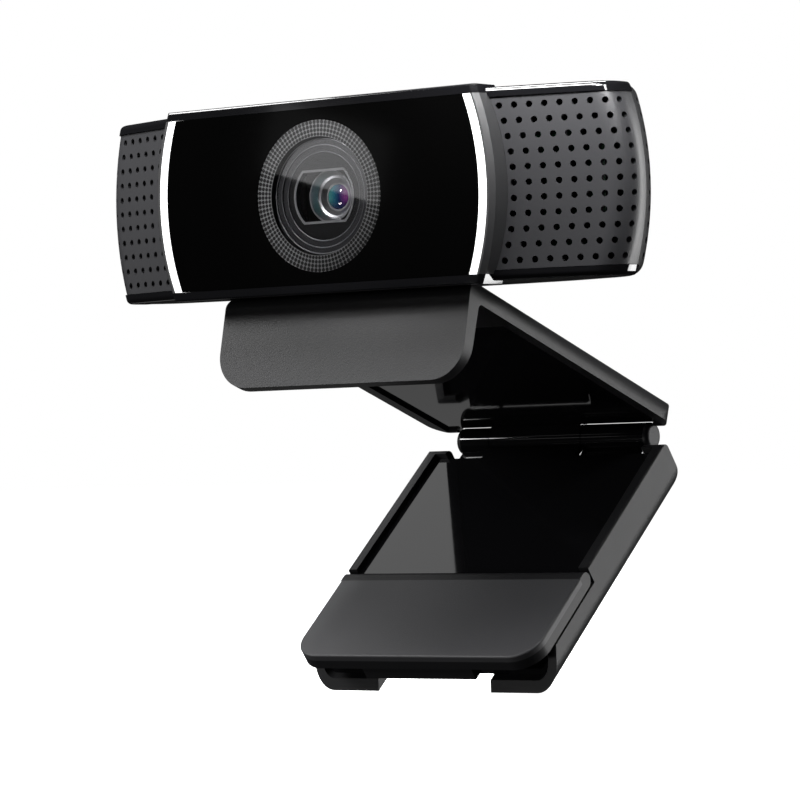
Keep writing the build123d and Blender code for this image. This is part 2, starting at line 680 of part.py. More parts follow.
# ================================================================ tilt hinge
def tilt_bracket():
    """Two ears inside the housing that turn on the tilt pin, joined by a bridge under the chassis."""
    inner = TILT_LUG_HALF_WIDTH + GAP / 2
    outer = inner + TILT_EAR_THICKNESS
    reach = TILT_LUG_RADIUS + 0.2
    roof = -CHASSIS_HALF_HEIGHT
    floor = TILT_Z + TILT_LUG_RADIUS + GAP
    bracket = block((-outer, outer), (TILT_Y - reach, TILT_Y + reach), (floor, roof))
    for x in ((-outer, -inner), (inner, outer)):
        bracket += rod_x(TILT_LUG_RADIUS, x[0], x[1], TILT_Y, TILT_Z)
        bracket += block(x, (TILT_Y - TILT_LUG_RADIUS, TILT_Y + TILT_LUG_RADIUS), (TILT_Z, floor))
    return bracket - rod_x(TILT_PIN_RADIUS + RUNNING, -outer - 1, outer + 1, TILT_Y, TILT_Z)


def tilt_pin():
    half = TILT_LUG_HALF_WIDTH + GAP / 2 + TILT_EAR_THICKNESS
    return rod_x(TILT_PIN_RADIUS, -half, half, TILT_Y, TILT_Z)


# ================================================================ clip arm
def arm_profile():
    """Side outline of the arm and lip, in the arm's own frame: y along the arm, z up from its axis."""
    inner = LIP_FRONT_TOP + LIP_THICKNESS
    face = make_face(
        Polyline(
            (LIP_FRONT_BOTTOM, LIP_BOTTOM),
            (LIP_FRONT_TOP, LIP_SHOULDER),
            (ARM_KNEE, ARM_TOP),
            (ARM_BACK, ARM_TOP),
            (ARM_BACK, ARM_BOTTOM),
            (inner, ARM_BOTTOM),
            (inner + 0.3, LIP_BOTTOM),
            close=True,
        )
    )
    for point, radius in (
        ((LIP_FRONT_TOP, LIP_SHOULDER), 2.0),
        ((ARM_BACK, ARM_TOP), ARM_END_RADIUS),
        ((ARM_BACK, ARM_BOTTOM), 1.4),
        ((inner, ARM_BOTTOM), 0.8),
        ((ARM_KNEE, ARM_TOP), 6.0),
    ):
        nearest = min(face.vertices(), key=lambda v: math.hypot(v.X - point[0], v.Y - point[1]))
        face = fillet(nearest, radius)
    return face


def fold_trough(radius):
    """Space round the fold hinge's barrel, in the arm's own frame."""
    half = BARREL_HALF_LENGTH + END_CAP_THICKNESS + GAP
    return rod_x(radius, -half, half, FOLD_U, FOLD_W)


def arm_shell():
    """Lip and arm in one moulding, with the tilt lug on top and an open underside."""
    section = rounded_rectangle(
        (-CLIP_HALF, CLIP_HALF),
        (LIP_BOTTOM, ARM_TOP),
        (LIP_CORNER_RADIUS, LIP_CORNER_RADIUS, ARM_SIDE_RADIUS, ARM_SIDE_RADIUS),
    )
    plan = rounded_rectangle(
        (-CLIP_HALF, CLIP_HALF), (-20, ARM_BACK), (0, 0, ARM_CORNER_RADIUS, ARM_CORNER_RADIUS)
    )
    shell = side_slab(arm_profile(), CLIP_HALF)
    shell &= section_slab(section, -20, ARM_BACK + 1)
    shell &= Pos(0, 0, LIP_BOTTOM - 1) * extrude(plan, amount=ARM_TOP - LIP_BOTTOM + 2)
    inside = CLIP_HALF - RAIL_WIDTH
    cavity = (3.5, ARM_BACK - ARM_WALL)
    shell -= block((-inside, inside), cavity, (ARM_BOTTOM - 1, ARM_TOP - ARM_WALL))
    shell -= fold_trough(BARREL_RADIUS + GAP)
    web = arm_web_range()
    ceiling = ARM_TOP - ARM_WALL
    shell -= block((web[0] - 0.1, web[1] + 0.1), (ARM_BACK - ARM_WALL - 1, ARM_BACK + 1), (ARM_BOTTOM - 1, ceiling))
    for x in ((-TILT_LUG_HALF_WIDTH - TILT_EAR_THICKNESS - 2 * GAP, -TILT_LUG_HALF_WIDTH),
              (TILT_LUG_HALF_WIDTH, TILT_LUG_HALF_WIDTH + TILT_EAR_THICKNESS + 2 * GAP)):
        shell -= rod_x(TILT_LUG_RADIUS + GAP, x[0], x[1], 0, 0)
    lug = rod_x(TILT_LUG_RADIUS, -TILT_LUG_HALF_WIDTH, TILT_LUG_HALF_WIDTH, 0, 0)
    neck = (-TILT_LUG_HALF_WIDTH, TILT_LUG_HALF_WIDTH)
    lug += block(neck, (-TILT_LUG_RADIUS, TILT_LUG_RADIUS), (ARM_TOP - 1.2, 0))
    shell += lug
    return shell - rod_x(TILT_PIN_RADIUS, -CLIP_HALF, CLIP_HALF, 0, 0)


def arm_panel():
    """Glossy plate that closes the arm's underside and rests on the monitor."""
    inside = CLIP_HALF - RAIL_WIDTH - 0.15
    z = (ARM_BOTTOM + RECESS, ARM_BOTTOM + RECESS + PANEL_PLATE)
    plate = block((-inside, inside), (3.65, ARM_BACK - ARM_WALL - 0.15), z)
    web = arm_web_range()
    plate -= block((web[0] - 0.1, web[1] + 0.1), (FOLD_U - BARREL_RADIUS - 0.3, ARM_BACK), (-20, 0))
    return plate - fold_trough(BARREL_RADIUS + GAP)


def arm_web_range():
    return ARM_KNUCKLE_FROM + 0.1, ARM_KNUCKLE_TO - 0.1


def arm_knuckle():
    """Middle knuckle of the fold hinge, with the web and plate that hold it in the arm."""
    web = arm_web_range()
    ceiling = ARM_TOP - ARM_WALL
    plate_bottom = ARM_BOTTOM + RECESS + PANEL_PLATE
    knuckle = rod_x(BARREL_RADIUS, ARM_KNUCKLE_FROM, ARM_KNUCKLE_TO, FOLD_U, FOLD_W)
    knuckle += block(web, (FOLD_U - BARREL_RADIUS, ARM_BACK - 0.4), (FOLD_W, ceiling))
    knuckle += block(web, (FOLD_U - 10.0, ARM_BACK - ARM_WALL - 0.1), (plate_bottom, ceiling))
    for x in knuckle_screw_places():
        knuckle -= Pos(x, FOLD_U - 6.0, 0) * Cylinder(SCREW_RADIUS + FIT, 20)
    return knuckle - rod_x(SLEEVE_RADIUS, ARM_KNUCKLE_FROM - 1, ARM_KNUCKLE_TO + 1, FOLD_U, FOLD_W)


def knuckle_screw_places():
    web = arm_web_range()
    return web[0] + 3.0, web[1] - 3.0


def knuckle_screws():
    """Two screws that hold the knuckle's plate up against the arm."""
    ceiling = ARM_TOP - ARM_WALL
    screws = []
    for x in knuckle_screw_places():
        bottom = ARM_BOTTOM + RECESS + PANEL_PLATE
        screws.append(Pos(x, FOLD_U - 6.0, (bottom + ceiling) / 2) * Cylinder(SCREW_RADIUS, ceiling - bottom))
    return Compound(children=screws)


def friction_sleeve():
    """Bush in the arm's knuckle that grips the fold pin."""
    sleeve = rod_x(SLEEVE_RADIUS, ARM_KNUCKLE_FROM, ARM_KNUCKLE_TO, FOLD_U, FOLD_W)
    return sleeve - rod_x(FOLD_PIN_RADIUS + RUNNING, -CLIP_HALF, CLIP_HALF, FOLD_U, FOLD_W)


def lip_pad():
    """Soft pad on the inside of the lip, against the monitor's front."""
    inner = LIP_FRONT_TOP + LIP_THICKNESS
    lean = 0.3 / (ARM_BOTTOM - LIP_BOTTOM)
    face = make_face(
        Polyline(
            (inner + lean * 2.5, ARM_BOTTOM - 2.5),
            (inner + lean * 2.5 + LIP_PAD_THICKNESS, ARM_BOTTOM - 2.5),
            (inner + 0.3 + LIP_PAD_THICKNESS - lean * 2.0, LIP_BOTTOM + 2.0),
            (inner + 0.3 - lean * 2.0, LIP_BOTTOM + 2.0),
            close=True,
        )
    )
    return side_slab(face, CLIP_HALF - LIP_CORNER_RADIUS)


# ================================================================ leg (y runs back along the leg, so -y is its length)
def leg_side(end):
    """Side outline of the leg, with a free end that is upright when the leg is at rest."""
    lean = math.tan(math.radians(LEG_SLOPE))
    return make_face(
        Polyline(
            (-end, LEG_BACK),
            (-LEG_START, LEG_BACK),
            (-LEG_START, LEG_FACE),
            (-end + lean * LEG_THICKNESS, LEG_FACE),
            close=True,
        )
    )


def leg_shell():
    """Tray of the leg: rails, rounded sides, thread boss, and an open, notched end under the foot."""
    section = rounded_rectangle(
        (-CLIP_HALF, CLIP_HALF), (LEG_BACK, LEG_FACE), (LEG_EDGE_RADIUS, LEG_EDGE_RADIUS, 0.4, 0.4)
    )
    side = leg_side(LEG_END)
    for point, radius in (((-LEG_START, LEG_BACK), LEG_HINGE_RADIUS), ((-LEG_START, LEG_FACE), 1.2)):
        nearest = min(side.vertices(), key=lambda v: math.hypot(v.X - point[0], v.Y - point[1]))
        side = fillet(nearest, radius)
    shell = section_slab(section, -LEG_END, -LEG_START) & side_slab(side, CLIP_HALF)
    rails = CLIP_HALF - LEG_RAIL
    floor = LEG_BACK + LEG_WALL
    shell -= block((-rails, rails), (-FOOT_START, -LEG_START - LEG_WALL), (floor, LEG_FACE + 1))
    shell -= section_slab(open_end(0), -LEG_END - 1, -FOOT_START + GAP)
    shell -= block((-CLIP_WIDTH, CLIP_WIDTH), (-LEG_END - 1, -FOOT_START + GAP), (SIDE_WALL_TOP, LEG_FACE + 1))
    barrel = BARREL_HALF_LENGTH + END_CAP_THICKNESS + GAP
    shell -= block((-barrel, barrel), (-LEG_START - LEG_WALL, 0), (-BARREL_RADIUS - 0.1, LEG_FACE + 1))
    notch = NOTCH_HALF_WIDTH
    shell -= block((-notch, notch), (-LEG_END - 1, -LEG_END + NOTCH_DEPTH), (LEG_BACK - 1, LEG_FACE + 1))
    boss_top = LEG_BACK + INSERT_LENGTH
    middle = (LEG_BACK + LEG_WALL / 2 + boss_top) / 2
    height = boss_top - LEG_BACK - LEG_WALL / 2
    shell += Pos(0, -INSERT_AT, middle) * Cylinder(INSERT_RADIUS + 1.5, height)
    return shell - Pos(0, -INSERT_AT, 0) * Cylinder(INSERT_RADIUS, 4 * LEG_THICKNESS)


def open_end(inset):
    """Cross-section of the room inside the leg's open end."""
    half = CLIP_HALF - LEG_WALL - inset
    radius = LEG_EDGE_RADIUS - LEG_WALL - inset
    floor = LEG_BACK + LEG_WALL + inset
    return rounded_rectangle((-half, half), (floor, LEG_FACE + 1), (radius, radius, 0, 0))


def tripod_insert():
    """Metal insert in the leg's outer face with the camera thread's bore."""
    middle = LEG_BACK + INSERT_LENGTH / 2
    insert = Pos(0, -INSERT_AT, middle) * Cylinder(INSERT_RADIUS, INSERT_LENGTH)
    insert = chamfer(insert.edges().sort_by(Axis.Z)[0], 0.3)
    return insert - Pos(0, -INSERT_AT, 0) * Cylinder(THREAD_RADIUS, 4 * LEG_THICKNESS)


def leg_panel():
    """Glossy plate between the rails, with a tongue that reaches to the arm's knuckle."""
    inside = CLIP_HALF - LEG_RAIL - 0.15
    top = LEG_FACE - LEG_RECESS
    start = -LEG_START - LEG_WALL - 0.2
    plate = block((-inside, inside), (-FOOT_START + GAP, start), (top - PANEL_PLATE, top))
    tongue = (ARM_KNUCKLE_FROM - KNUCKLE_GAP + FIT, ARM_KNUCKLE_TO + KNUCKLE_GAP - FIT)
    return plate + block(tongue, (start, -BARREL_RADIUS - GAP), (top - PANEL_PLATE, top))


def leg_liner():
    """Glossy lining of the leg's open end, closed behind the foot's grip."""
    start, end = -FOOT_PIVOT - 2.6, -LEG_END + LINER_SETBACK
    liner = section_slab(open_end(FIT) - open_end(FIT + LINER), end, start)
    liner += section_slab(open_end(FIT), -LINER_WALL_AT - LINER, -LINER_WALL_AT)
    liner &= block((-CLIP_HALF, CLIP_HALF), (end, start), (LEG_BACK, SIDE_WALL_TOP - 0.1))
    liner &= side_slab(leg_side(LEG_END - LINER_SETBACK), CLIP_HALF)
    notch = NOTCH_HALF_WIDTH
    return liner - block((-notch, notch), (end - 1, -LEG_END + NOTCH_DEPTH), (LEG_BACK, LEG_FACE))


def leg_knuckles():
    """Outer knuckles of the fold hinge, with the webs that hold them to the tray."""
    floor = LEG_BACK + LEG_WALL
    under_panel = LEG_FACE - LEG_RECESS - PANEL_PLATE
    pieces = []
    for x in ((-BARREL_HALF_LENGTH, ARM_KNUCKLE_FROM - KNUCKLE_GAP), (ARM_KNUCKLE_TO + KNUCKLE_GAP, BARREL_HALF_LENGTH)):
        piece = rod_x(BARREL_RADIUS, x[0], x[1], 0, 0)
        piece += block(x, (-10.0, 0), (-BARREL_RADIUS + 0.2, under_panel - 0.05))
        piece += block(x, (-10.0, -LEG_START - LEG_WALL - 0.2), (floor, under_panel - 0.05))
        pieces.append(piece - rod_x(FOLD_PIN_RADIUS, -CLIP_HALF, CLIP_HALF, 0, 0))
    return Compound(children=pieces)


def fold_pin():
    half = BARREL_HALF_LENGTH
    return rod_x(FOLD_PIN_RADIUS, -half, half, 0, 0)


def barrel_caps():
    """Domed caps on the ends of the barrel."""
    caps = []
    for sign in (-1, 1):
        x = sorted((sign * BARREL_HALF_LENGTH, sign * (BARREL_HALF_LENGTH + END_CAP_THICKNESS)))
        piece = rod_x(BARREL_RADIUS, x[0], x[1], 0, 0)
        outer = piece.edges().filter_by(GeomType.CIRCLE).sort_by(Axis.X)[-1 if sign > 0 else 0]
        caps.append(fillet(outer, END_CAP_THICKNESS * 0.8))
    return Compound(children=caps)


def foot_ears():
    """Two posts in the tray that hold the foot's pin."""
    floor = LEG_BACK + LEG_WALL
    ears = []
    for side in (-EAR_X, EAR_X):
        x = (side - EAR_THICKNESS / 2, side + EAR_THICKNESS / 2)
        ear = rod_x(EAR_RADIUS, x[0], x[1], -FOOT_PIVOT, FOOT_AXIS_HEIGHT)
        ear += block(x, (-FOOT_PIVOT - EAR_RADIUS, -FOOT_PIVOT + EAR_RADIUS), (floor, FOOT_AXIS_HEIGHT))
        ears.append(ear - rod_x(FOOT_PIN_RADIUS, -CLIP_HALF, CLIP_HALF, -FOOT_PIVOT, FOOT_AXIS_HEIGHT))
    return Compound(children=ears)


def foot_pin():
    half = EAR_X + EAR_THICKNESS / 2 + 2.0
    return rod_x(FOOT_PIN_RADIUS, -half, half, -FOOT_PIVOT, FOOT_AXIS_HEIGHT)


# ================================================================ foot (in the leg's frame, lying in the leg)
def foot_plan(start):
    """The foot's outline with large corners at its free end."""
    half = CLIP_HALF - 0.1
    radii = (FOOT_CORNER_RADIUS, FOOT_CORNER_RADIUS, 0, 0)
    return rounded_rectangle((-half, half), (-FOOT_END, -start), radii)


def foot_pad_start():
    """Where the pad begins, clear of the posts."""
    return FOOT_PIVOT + EAR_ROOM_RADIUS + 0.1


def foot_core():
    """Stiff lower layer of the foot, round about its pin, with a grip at the notch."""
    low = LEG_FACE - FOOT_THICKNESS
    core = Pos(0, 0, low) * extrude(foot_plan(FOOT_PIVOT), amount=FOOT_THICKNESS - FOOT_PAD)
    half = CLIP_HALF - 0.1
    core += rod_x(FOOT_THICKNESS / 2, -half, half, -FOOT_PIVOT, FOOT_AXIS_HEIGHT)
    core += block((-half, half), (-foot_pad_start(), -FOOT_PIVOT), (low, LEG_FACE))
    core -= block((-half - 1, half + 1), (-FOOT_END, -foot_pad_start()), (LEG_FACE - FOOT_PAD, LEG_FACE + 1))
    grip = NOTCH_HALF_WIDTH - GAP
    core += block((-grip, grip), (-FOOT_END + 0.3, -FOOT_END + 2.4), (low - FOOT_GRIP_DEPTH, low))
    for side in (-EAR_X, EAR_X):
        x = (side - EAR_THICKNESS / 2 - GAP, side + EAR_THICKNESS / 2 + GAP)
        core -= rod_x(EAR_ROOM_RADIUS, x[0], x[1], -FOOT_PIVOT, FOOT_AXIS_HEIGHT)
        core -= block(x, (-FOOT_PIVOT - EAR_SLOT, -FOOT_PIVOT + EAR_SLOT), (low - 1, FOOT_AXIS_HEIGHT))
    pin_room = EAR_X + EAR_THICKNESS / 2 + 2.2
    return core - rod_x(FOOT_PIN_RADIUS + RUNNING, -pin_room, pin_room, -FOOT_PIVOT, FOOT_AXIS_HEIGHT)


def foot_pad():
    """Soft upper layer of the foot that presses on the monitor's back."""
    pad = Pos(0, 0, LEG_FACE - FOOT_PAD) * extrude(foot_plan(foot_pad_start()), amount=FOOT_PAD)
    top = [e for e in pad.edges() if e.center().Z > LEG_FACE - 0.01 and e.center().Y < -foot_pad_start() - 0.5]
    return fillet(top, 0.3)


# ================================================================ write
def nodes():
    left_strip, right_strip = light_strips()
    right = grille_right()
    camera = {
        "module_frame": module_frame(),
        "module_bars": module_bars(),
        "front_panel": front_panel(),
        "lens_window": rod_y(WINDOW_RADIUS - 0.01, 0, PANEL_THICKNESS),
        "light_strip_left": left_strip,
        "light_strip_right": right_strip,
        "light_boards": light_guide_boards(),
        "status_leds": status_leds(),
        "grille_right": right,
        "grille_left": mirror(right, Plane.YZ),
        "top_cap": cap(True),
        "bottom_cap": cap(False),
        "rear_shell": rear_shell(),
        "lens_baffle": lens_baffle(),
        "lens_hood": lens_hood(),
        "focus_housing": focus_housing(),
        "focus_magnets": focus_magnets(),
        "sensor_holder": sensor_holder(),
        "ir_filter": ir_filter(),
        "image_sensor": image_sensor(),
        "sensor_board": sensor_board(),
        "chassis": chassis(),
        "main_board": main_board(),
        "board_chips": board_chips(),
        "cable_header": cable_header(),
        "microphones": microphones(),
        "mic_gaskets": mic_gaskets(),
        "mic_boards": mic_boards(),
        "housing_screws": housing_screws(),
        "cable_inlet": cable_inlet(),
        "tilt_bracket": tilt_bracket(),
    }
    lens = {
        "lens_barrel": lens_barrel(),
        "lens_glass": lens_glass(),
        "rear_element": rear_element(),
        "focus_coil": focus_coil(),
    }
    arm = {
        "arm_shell": arm_shell(),
        "arm_panel": arm_panel(),
        "arm_knuckle": arm_knuckle(),
        "knuckle_screws": knuckle_screws(),
        "friction_sleeve": friction_sleeve(),
        "lip_pad": lip_pad(),
    }
    leg = {
        "leg_shell": leg_shell(),
        "leg_panel": leg_panel(),
        "leg_liner": leg_liner(),
        "leg_knuckles": leg_knuckles(),
        "fold_pin": fold_pin(),
        "barrel_caps": barrel_caps(),
        "tripod_insert": tripod_insert(),
        "foot_ears": foot_ears(),
        "foot_pin": foot_pin(),
    }
    foot = {"foot_core": foot_core(), "foot_pad": foot_pad()}
    parts = {**camera, **lens, "tilt_pin": tilt_pin()}
    parts.update({name: ARM_PLACE * shape for name, shape in arm.items()})
    parts.update({name: LEG_PLACE * shape for name, shape in {**leg, **foot}.items()})
    return parts


os.makedirs("parts", exist_ok=True)
for name, shape in nodes().items():
    export_step(shape, f"parts/{name}.step")
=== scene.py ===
"""Clip-on webcam: finishes, fine surfaces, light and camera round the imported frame."""
import math

import bpy
import numpy as np
from bpy.props import FloatProperty, FloatVectorProperty, IntProperty, PointerProperty
from bpy.types import Operator, Panel, PropertyGroup
from mathutils import Matrix, Vector


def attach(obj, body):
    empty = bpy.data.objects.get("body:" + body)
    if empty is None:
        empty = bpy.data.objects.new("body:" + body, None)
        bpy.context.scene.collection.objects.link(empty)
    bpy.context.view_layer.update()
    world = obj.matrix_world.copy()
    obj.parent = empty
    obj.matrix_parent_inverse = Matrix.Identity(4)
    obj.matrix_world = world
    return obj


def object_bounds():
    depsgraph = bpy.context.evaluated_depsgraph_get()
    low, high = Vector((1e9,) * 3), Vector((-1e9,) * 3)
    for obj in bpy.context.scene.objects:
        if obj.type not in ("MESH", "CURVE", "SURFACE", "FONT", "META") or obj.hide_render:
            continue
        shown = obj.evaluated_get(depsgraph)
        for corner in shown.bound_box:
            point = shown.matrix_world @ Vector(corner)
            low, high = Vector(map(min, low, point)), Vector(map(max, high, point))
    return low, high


bl_info = {
    "name": "Webcam on Monitor Clip",
    "version": (1, 0, 0),
    "blender": (4, 5, 0),
    "location": "View3D > Sidebar > Webcam",
    "description": "Dresses the webcam's frame with finished surfaces, light and a camera",
    "category": "Object",
}

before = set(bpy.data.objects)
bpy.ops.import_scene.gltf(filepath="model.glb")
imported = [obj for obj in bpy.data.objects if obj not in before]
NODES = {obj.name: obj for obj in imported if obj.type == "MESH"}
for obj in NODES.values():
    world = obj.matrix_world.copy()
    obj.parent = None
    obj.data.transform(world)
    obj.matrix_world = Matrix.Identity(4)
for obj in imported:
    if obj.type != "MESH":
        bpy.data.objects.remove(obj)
CAD_BOX = [list(map(float, corner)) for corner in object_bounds()]
MM = 0.001

TURN_STEPS = 160              # faces round a turned piece
RING_FRONT, RING_BACK = 0.10, 0.14
STEP_EDGES = ((8.4, 1.0), (7.5, 1.2), (6.5, 1.4))     # radius and depth of each step, mm
STEP_EDGE_HALF_WIDTH = 0.09
STEP_EDGE_HALF_DEPTH = 0.07
STEP_EDGE_PROUD = 0.02
STEP_EDGE_STEPS = 12
STRIP_HALF_HEIGHT = 13.0
DOME_RADIUS = 1.85
HOOD_RIM_DEPTH = 1.47         # the hood's rim is in front of this depth, mm, and is painted light grey there as a highlight
FLOOR_GAP = 0.002             # metres from the floor up to the lowest point
FLOOR_HALF_WIDTH = 1.5
GLOSSY_AMBIENT = 0.01         # what polished faces see all round them

CAMERA_TURN = (-35.340, -0.150, -2.179)               # yaw, pitch and roll, degrees
CAMERA_OFFSET = (-11.8833, 553.1109, 29.7118)         # the object's origin as the camera sees it, mm
CAMERA_LENS = 171.0
CAMERA_SENSOR = 36.0
CAMERA_NEAR = 0.01

WHITE = (1, 1, 1)
DARK_MATTE = (0.022, 0.022, 0.024)
PANEL_BLACK = (0.0008, 0.0008, 0.0008)
INK_BLACK = (0.004, 0.004, 0.004)
STEEL = (0.56, 0.56, 0.57)
BRASS = (0.72, 0.55, 0.28)
COPPER = (0.78, 0.36, 0.2)
STEP_GREY = (0.30, 0.30, 0.31)
BOARD_GREEN = (0.02, 0.14, 0.06)
LATTICE_GREY = 0.3


# ================================================================ shader maths
class Term:
    """A shader socket that takes part in arithmetic: each operator adds its Math node."""

    def __init__(self, finish, socket):
        self.finish = finish
        self.socket = socket

    def math(self, operation, *others):
        return self.finish.node("ShaderNodeMath", {"operation": operation}, [self, *others])

    def __add__(self, other):
        return self.math("ADD", other)

    __radd__ = __add__

    def __sub__(self, other):
        return self.math("SUBTRACT", other)

    def __rsub__(self, other):
        return self.finish.node("ShaderNodeMath", {"operation": "SUBTRACT"}, [other, self])

    def __mul__(self, other):
        return self.math("MULTIPLY", other)

    __rmul__ = __mul__

    def __truediv__(self, other):
        return self.math("DIVIDE", other)

    def floor(self):
        return self.math("FLOOR")

    def fract(self):
        return self.math("FRACT")

    def clamped(self):
        return self.math("MAXIMUM", 0.0).math("MINIMUM", 1.0)

    def step(self, low, high):
        """0 below low, 1 above high, straight between."""
        return ((self - low) / (high - low)).clamped()


class Finish:
    """A material, with a method that adds any node and wires it."""

    def __init__(self, name, **constants):
        self.material = bpy.data.materials.new(name)
        self.material.use_nodes = True
        self.tree = self.material.node_tree
        self.shader = self.tree.nodes["Principled BSDF"]
        self.set(**constants)

    def set(self, **values):
        """Sets or links the shader's own sockets; a word's underscores stand for spaces."""
        for word, value in values.items():
            socket = self.shader.inputs[word.replace("_", " ").title().replace("Ior", "IOR")]
            self.feed(socket, value)
        return self

    def feed(self, socket, value):
        if isinstance(value, Term):
            self.tree.links.new(value.socket, socket)
        elif isinstance(value, (tuple, list)) and len(value) == 3 and socket.type == "RGBA":
            socket.default_value = (*value, 1.0)
        else:
            socket.default_value = value

    def node(self, kind, settings=None, inputs=(), output=0):
        """Adds a node, makes its settings first, then feeds its inputs by order or by name."""
        made = self.tree.nodes.new(kind)
        for word, value in (settings or {}).items():
            if word == "stops":
                for place, (position, colour) in enumerate(value):
                    stops = made.color_ramp.elements
                    stop = stops[place] if place < len(stops) else stops.new(position)
                    stop.position = position
                    stop.color = (*colour, 1.0)
            else:
                setattr(made, word, value)
        pairs = inputs.items() if isinstance(inputs, dict) else enumerate(inputs)
        for key, value in pairs:
            self.feed(made.inputs[key], value)
        return Term(self, made.outputs[output])

    def place(self):
        """Object coordinates in metres."""
        return self.node("ShaderNodeTexCoord", output="Object")

    def axis(self, letter):
        """One of the three object coordinates, X, Y or Z, in metres."""
        return self.node("ShaderNodeSeparateXYZ", {}, [self.place()], output=letter)

    def noise(self, scale, detail=2.0, roughness=0.5, vector=None):
        inputs = {"Vector": vector or self.place(), "Scale": scale, "Detail": detail, "Roughness": roughness}
        return self.node("ShaderNodeTexNoise", {}, inputs)

    def bump(self, height, strength, distance):
        inputs = {"Height": height, "Strength": strength, "Distance": distance}
        return self.node("ShaderNodeBump", {}, inputs)

    def blend(self, factor, low, high):
        """Colour mix: low where factor is 0, high where it is 1."""
        inputs = {0: factor, 6: low, 7: high}
        return self.node("ShaderNodeMix", {"data_type": "RGBA"}, inputs, output=2)


# ================================================================ finishes
def satin(name, colour, roughness, grain_size, grain_depth, specular=0.45):
    """Moulded plastic with a spark-eroded grain: a fine even noise for the grain, a broad one for wear."""
    finish = Finish(name, specular_ior_level=specular)
    grain = finish.noise(1 / grain_size, 3.0, 0.6)
    cloud = finish.noise(28.0, 3.0)
    dark = tuple(c * 0.86 for c in colour)
    light = tuple(c * 1.16 for c in colour)
    finish.set(
        base_color=finish.blend(cloud, (*dark, 1), (*light, 1)),
        roughness=cloud * 0.08 + grain * 0.08 + (roughness - 0.08),
        normal=finish.bump(grain, 0.8, grain_depth),
    )
    return finish.material


def polished(name, colour, roughness=0.05, coat=0.35, specular=0.5):
    """Glossy black plastic with the slow waviness and faint hairlines of a real moulding."""
    finish = Finish(name, coat_weight=coat, coat_roughness=0.03, specular_ior_level=specular)
    waves = finish.noise(45.0, 1.0)
    hair = finish.noise(900.0, 2.0)
    finish.set(
        base_color=finish.blend(waves, (*colour, 1), (*(c * 1.4 for c in colour), 1)),
        roughness=hair * 0.03 + roughness,
        normal=finish.bump(waves, 0.05, 0.0002),
    )
    return finish.material


def metal(name, colour, roughness, brushing=2500.0):
    """Turned or brushed metal: noise drawn out along one axis gives the tool marks."""
    finish = Finish(name, metallic=1.0)
    stretched = finish.node("ShaderNodeMapping", {}, {"Vector": finish.place(), "Scale": (1.0, 0.05, 1.0)})
    marks = finish.noise(brushing, 2.0, 0.6, stretched)
    finish.set(
        base_color=finish.blend(marks, (*(c * 0.85 for c in colour), 1), (*colour, 1)),
        roughness=marks * 0.15 + roughness,
        normal=finish.bump(marks, 0.2, 0.00003),
    )
    return finish.material


def board_green(name, colour):
    """Solder mask over copper tracks: a fine brick pattern shows as slightly lighter lines."""
    finish = Finish(name, specular_ior_level=0.5)
    x, z = finish.axis("X"), finish.axis("Z")
    track = ((x * 900.0).fract() - 0.5).math("ABSOLUTE").step(0.36, 0.42)
    across = ((z * 700.0).fract() - 0.5).math("ABSOLUTE").step(0.4, 0.45)
    tracks = track.math("MAXIMUM", across)
    lighter = tuple(min(c * 1.7, 1.0) for c in colour)
    finish.set(base_color=finish.blend(tracks, (*colour, 1), (*lighter, 1)), roughness=tracks * -0.1 + 0.45)
    return finish.material


def frosted_light(name, colour, strength):
    """Milky light guide that glows evenly, a little less towards its ends."""
    finish = Finish(name, roughness=0.3, emission_strength=strength)
    along = (finish.axis("Z") / (STRIP_HALF_HEIGHT * MM)).math("ABSOLUTE")
    glow = finish.blend(along.step(0.6, 1.15), (*colour, 1), (*(c * 0.45 for c in colour), 1))
    cloud = finish.noise(400.0)
    finish.set(base_color=finish.blend(cloud, (0.8, 0.8, 0.8, 1), (0.9, 0.9, 0.9, 1)), emission_color=glow)
    return finish.material


def disc_with_painted_rim_highlight(name, disc, rim, from_y):
    """Dark disc whose raised rim, in front of from_y, is painted light grey all round as a painted highlight.
    """
    finish = Finish(name, roughness=0.35)
    behind = (finish.axis("Y") / MM).step(from_y - 0.03, from_y + 0.01)
    cloud = finish.noise(2500.0)
    finish.set(
        # painted highlight: the rim in front of from_y is painted light grey, the disc behind it stays dark
        base_color=finish.blend(behind, (rim, rim, rim, 1), (disc, disc, disc, 1)),
        normal=finish.bump(cloud, 0.2, 0.00001),
    )
    return finish.material


def clear_window(name):
    """Flat clear cover: all of it lets light through, and Fresnel says how much is mirrored."""
    finish = Finish(name)
    tree = finish.tree
    glossy = finish.node("ShaderNodeBsdfGlossy", {}, {"Color": (1, 1, 1, 1), "Roughness": 0.015})
    clear = finish.node("ShaderNodeBsdfTransparent", {}, {"Color": (0.93, 0.93, 0.94, 1)})
    fresnel = finish.node("ShaderNodeFresnel", {}, {"IOR": 1.52})
    mixed = finish.node("ShaderNodeMixShader", {}, [fresnel, clear, glossy])
    tree.links.new(mixed.socket, tree.nodes["Material Output"].inputs["Surface"])
    tree.nodes.remove(finish.shader)
    return finish.material


def halftone(name, inner, outer, rows, count, grey):
    """Black dots in rings, each in line with the next; they leave a fine grey lattice between them."""
    finish = Finish(name, roughness=0.4)
    x, z = finish.axis("X"), finish.axis("Z")
    radius = (x * x + z * z).math("SQRT")
    turn = finish.node("ShaderNodeMath", {"operation": "ARCTAN2"}, [z, x]) / (2 * math.pi)
    row = (radius - inner) / (outer - inner) * rows
    across = (turn * count).fract() - 0.5
    along = row.fract() - 0.5
    pitch = (outer - inner) / rows
    width = radius * (2 * math.pi / count)
    dx = across * width
    dy = along * pitch
    distance = (dx * dx + dy * dy).math("SQRT")
    size = (row.floor() / rows) * 0.08 + 0.43
    dot = 1.0 - (distance / pitch - size).step(-0.03, 0.03)
    finish.set(base_color=finish.blend(dot, (grey, grey, grey, 1), (*INK_BLACK, 1)))
    return finish.material


